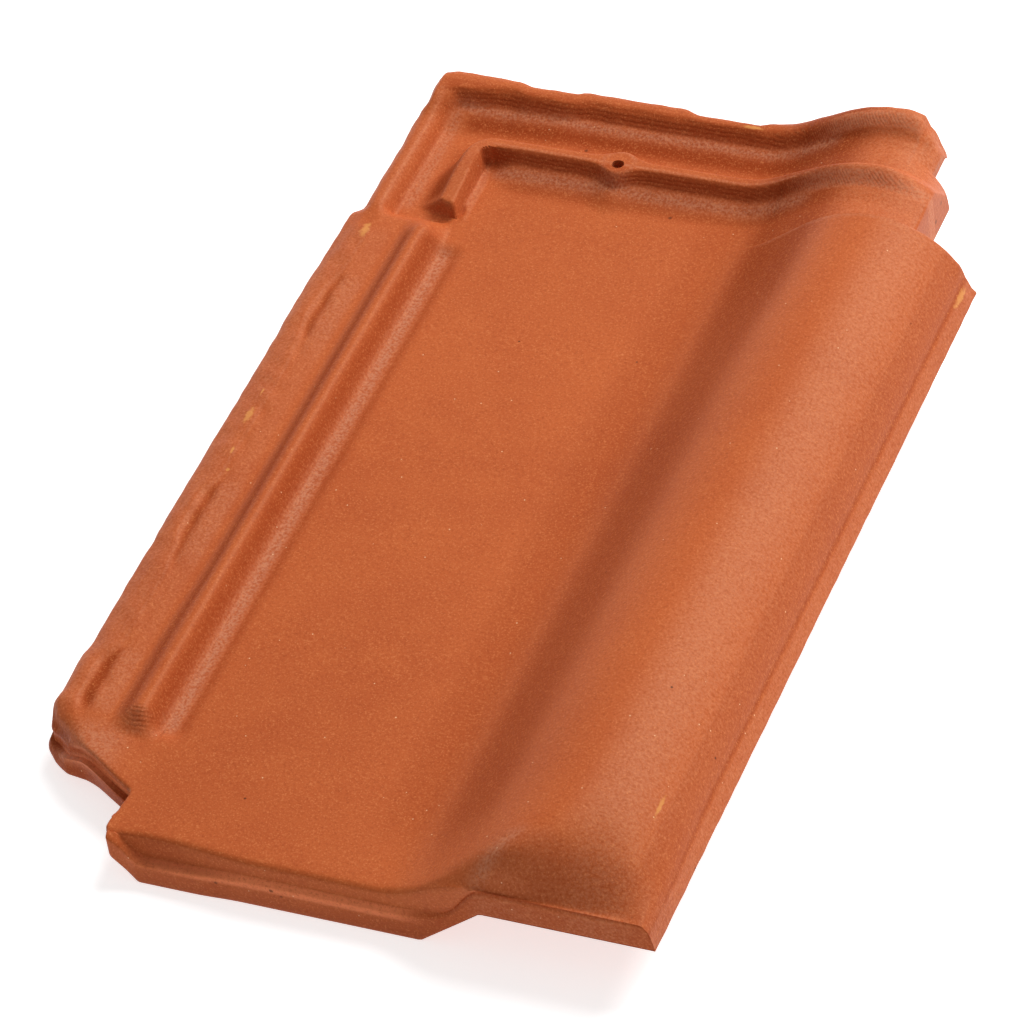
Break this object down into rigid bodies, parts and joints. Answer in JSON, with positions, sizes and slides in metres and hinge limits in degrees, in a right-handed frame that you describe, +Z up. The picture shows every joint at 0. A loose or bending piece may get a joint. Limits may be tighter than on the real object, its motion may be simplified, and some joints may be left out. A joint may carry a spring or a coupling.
{
  "type": "clay roof tile",
  "caption": "Small interlocking clay pantile with a flat pan, a roll on the right, a ribbed side lock on the left, ribs across the head and hanging lugs.",
  "frame": {"origin": "under the middle of the tile's box, on the level floor that it lies on", "axes": "+X across the tile from the side lock to the roll, +Y from the tail to the head, +Z up; the tile lies tipped up about 1.2 degrees at its head, on its lugs and the edge of its tail foot"},
  "size_m": [0.247, 0.4054, 0.0574],
  "materials": {
    "fired_clay": "matt unglazed fired clay, natural terracotta red, fine sandy grain"
  },
  "bodies": {
    "root": {"roof_tile": "fired_clay"}
  },
  "joints": []
}
